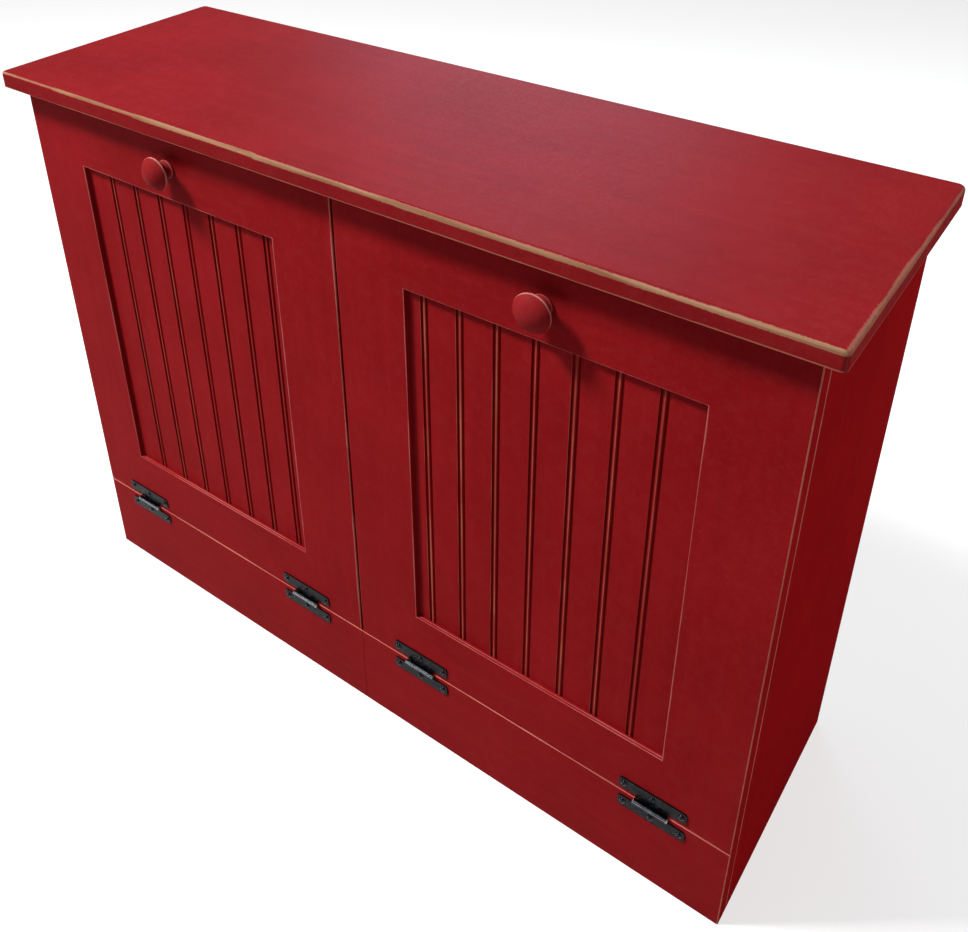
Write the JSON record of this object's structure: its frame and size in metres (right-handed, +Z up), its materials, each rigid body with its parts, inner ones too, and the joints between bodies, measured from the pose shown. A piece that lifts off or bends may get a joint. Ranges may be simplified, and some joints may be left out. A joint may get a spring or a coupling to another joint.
{
  "type": "double tilt-out trash cabinet",
  "caption": "Low wooden cabinet with side-by-side beaded doors that tilt out on H hinges, each carrying a waste bin under an overhanging top.",
  "frame": {"origin": "on the floor, midway between the ends of the top panel and between the knobs and the back", "axes": "+X to the viewer's right along the front, +Y from the doors to the back, +Z up"},
  "size_m": [0.99, 0.327, 0.743],
  "materials": {
    "painted_wood": "satin red paint rubbed through to the wood along the edges",
    "bare_wood": "clear-sealed pine and plywood",
    "hinge_iron": "black hammered paint on steel",
    "hinge_pin_steel": "darkened steel",
    "zinc_steel": "zinc plated",
    "catch_plastic": "brown nylon",
    "magnet": "dull",
    "felt": "felt",
    "bin_plastic": "moulded, fine grain"
  },
  "bodies": {
    "cabinet": {"top_panel": "painted_wood", "left_side": "painted_wood", "right_side": "painted_wood", "center_divider": "bare_wood", "left_bottom_panel": "bare_wood", "right_bottom_panel": "bare_wood", "back_panel": "bare_wood", "left_lower_front": "painted_wood", "right_lower_front": "painted_wood", "left_header": "bare_wood", "right_header": "bare_wood", "left_outer_hinge_base_leaf": "hinge_iron", "left_inner_hinge_base_leaf": "hinge_iron", "right_inner_hinge_base_leaf": "hinge_iron", "right_outer_hinge_base_leaf": "hinge_iron", "left_hinge_pins": "hinge_pin_steel", "right_hinge_pins": "hinge_pin_steel", "left_hinge_base_screws": "hinge_iron", "right_hinge_base_screws": "hinge_iron", "left_catch": "catch_plastic", "right_catch": "catch_plastic", "left_catch_magnet": "magnet", "right_catch_magnet": "magnet", "stop_blocks": "bare_wood", "door_bumpers": "felt"},
    "left_door": {"left_door_outer_stile": "painted_wood", "left_door_inner_stile": "painted_wood", "left_door_top_rail": "painted_wood", "left_door_bottom_rail": "painted_wood", "left_beadboard": "painted_wood", "left_knob": "painted_wood", "left_knob_screw": "zinc_steel", "left_outer_hinge_door_leaf": "hinge_iron", "left_inner_hinge_door_leaf": "hinge_iron", "left_hinge_door_screws": "hinge_iron", "left_strike": "zinc_steel", "left_cradle_shelf": "bare_wood", "left_cradle_outer_cheek": "bare_wood", "left_cradle_inner_cheek": "bare_wood", "left_cradle_back_rail": "bare_wood", "left_bin": "bin_plastic"},
    "right_door": {"right_door_outer_stile": "painted_wood", "right_door_inner_stile": "painted_wood", "right_door_top_rail": "painted_wood", "right_door_bottom_rail": "painted_wood", "right_beadboard": "painted_wood", "right_knob": "painted_wood", "right_knob_screw": "zinc_steel", "right_outer_hinge_door_leaf": "hinge_iron", "right_inner_hinge_door_leaf": "hinge_iron", "right_hinge_door_screws": "hinge_iron", "right_strike": "zinc_steel", "right_cradle_shelf": "bare_wood", "right_cradle_outer_cheek": "bare_wood", "right_cradle_inner_cheek": "bare_wood", "right_cradle_back_rail": "bare_wood", "right_bin": "bin_plastic"}
  },
  "joints": [
    {"name": "left_door_tilt", "type": "hinge", "parent": "cabinet", "child": "left_door", "pos_m": [0, -0.1394, 0.12075], "axis": [1, 0, 0], "range_deg": [0, 38]},
    {"name": "right_door_tilt", "type": "hinge", "parent": "cabinet", "child": "right_door", "pos_m": [0, -0.1394, 0.12075], "axis": [1, 0, 0], "range_deg": [0, 38]}
  ]
}
